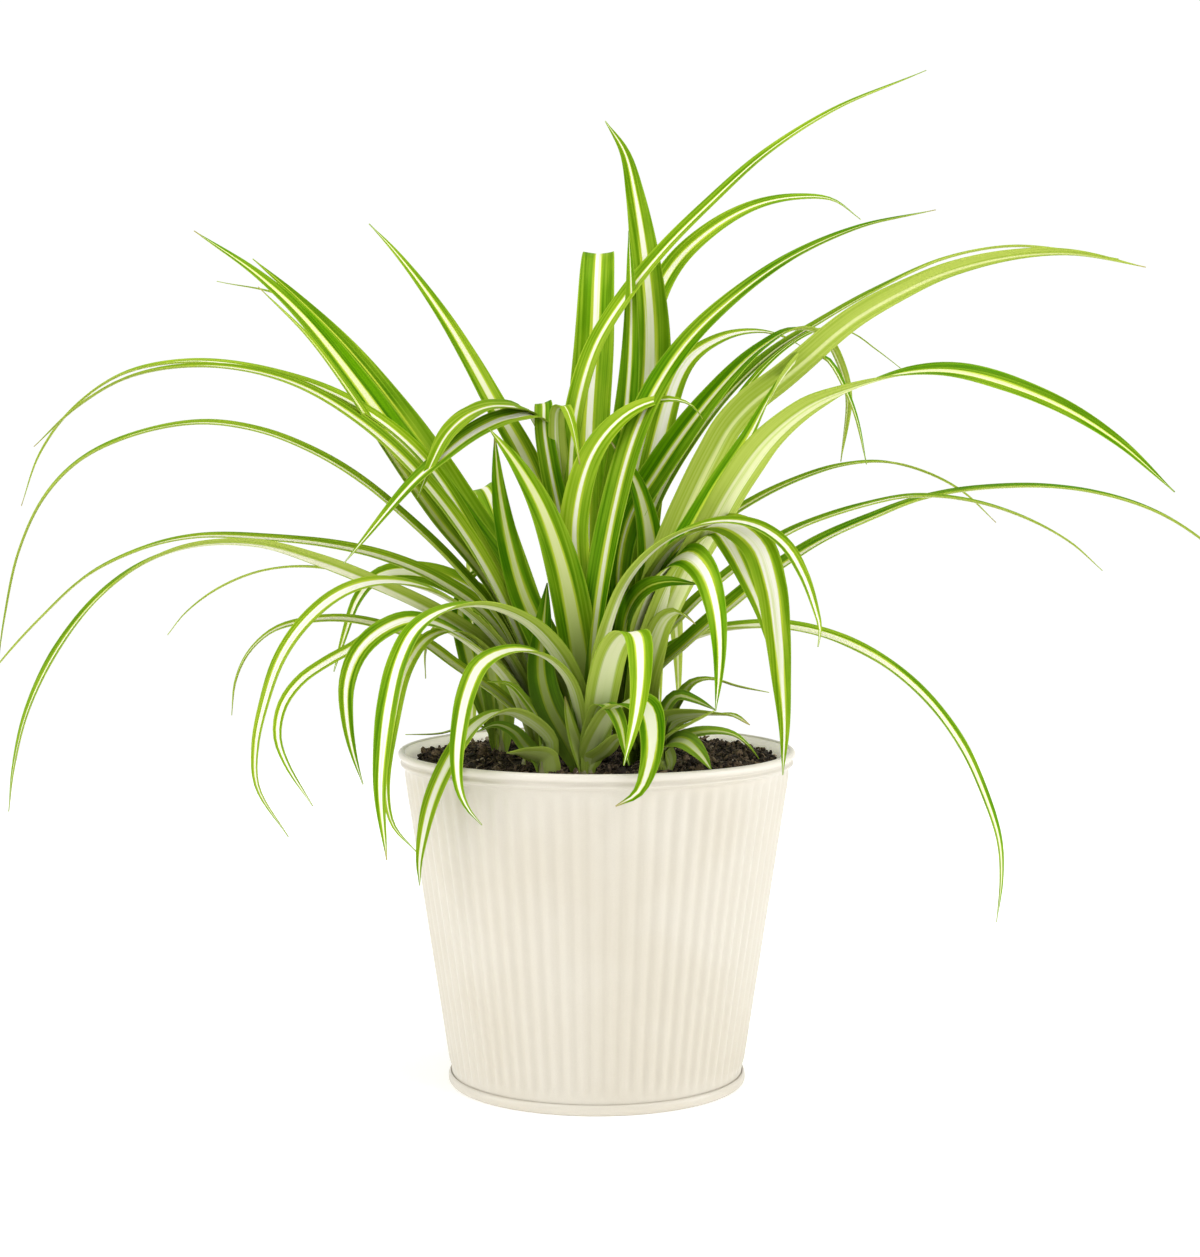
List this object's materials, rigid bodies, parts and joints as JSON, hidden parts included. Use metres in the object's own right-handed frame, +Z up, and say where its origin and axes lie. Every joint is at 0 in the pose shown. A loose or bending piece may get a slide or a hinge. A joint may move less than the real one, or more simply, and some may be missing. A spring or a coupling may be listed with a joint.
{
  "type": "potted spider plant",
  "caption": "Spider plant with long arching striped leaves, growing in a round, ribbed, tapered sheet-metal cover pot with a rolled rim.",
  "frame": {"origin": "middle of the pot's flat underside, on the pot's axis", "axes": "+Z up along the pot's axis; +X to the right and -Y towards the viewer of the picture"},
  "size_m": [0.4886, 0.2764, 0.375],
  "materials": {
    "pot_paint": "satin",
    "soil": "matte",
    "leaf": "satin"
  },
  "bodies": {
    "root": {"pot_wall": "pot_paint", "pot_base": "pot_paint", "soil": "soil", "rosette_front": "leaf", "rosette_small_left": "leaf", "rosette_left": "leaf", "rosette_right": "leaf", "rosette_back": "leaf", "rosette_low_right": "leaf", "rosette_far_left": "leaf"}
  },
  "joints": []
}
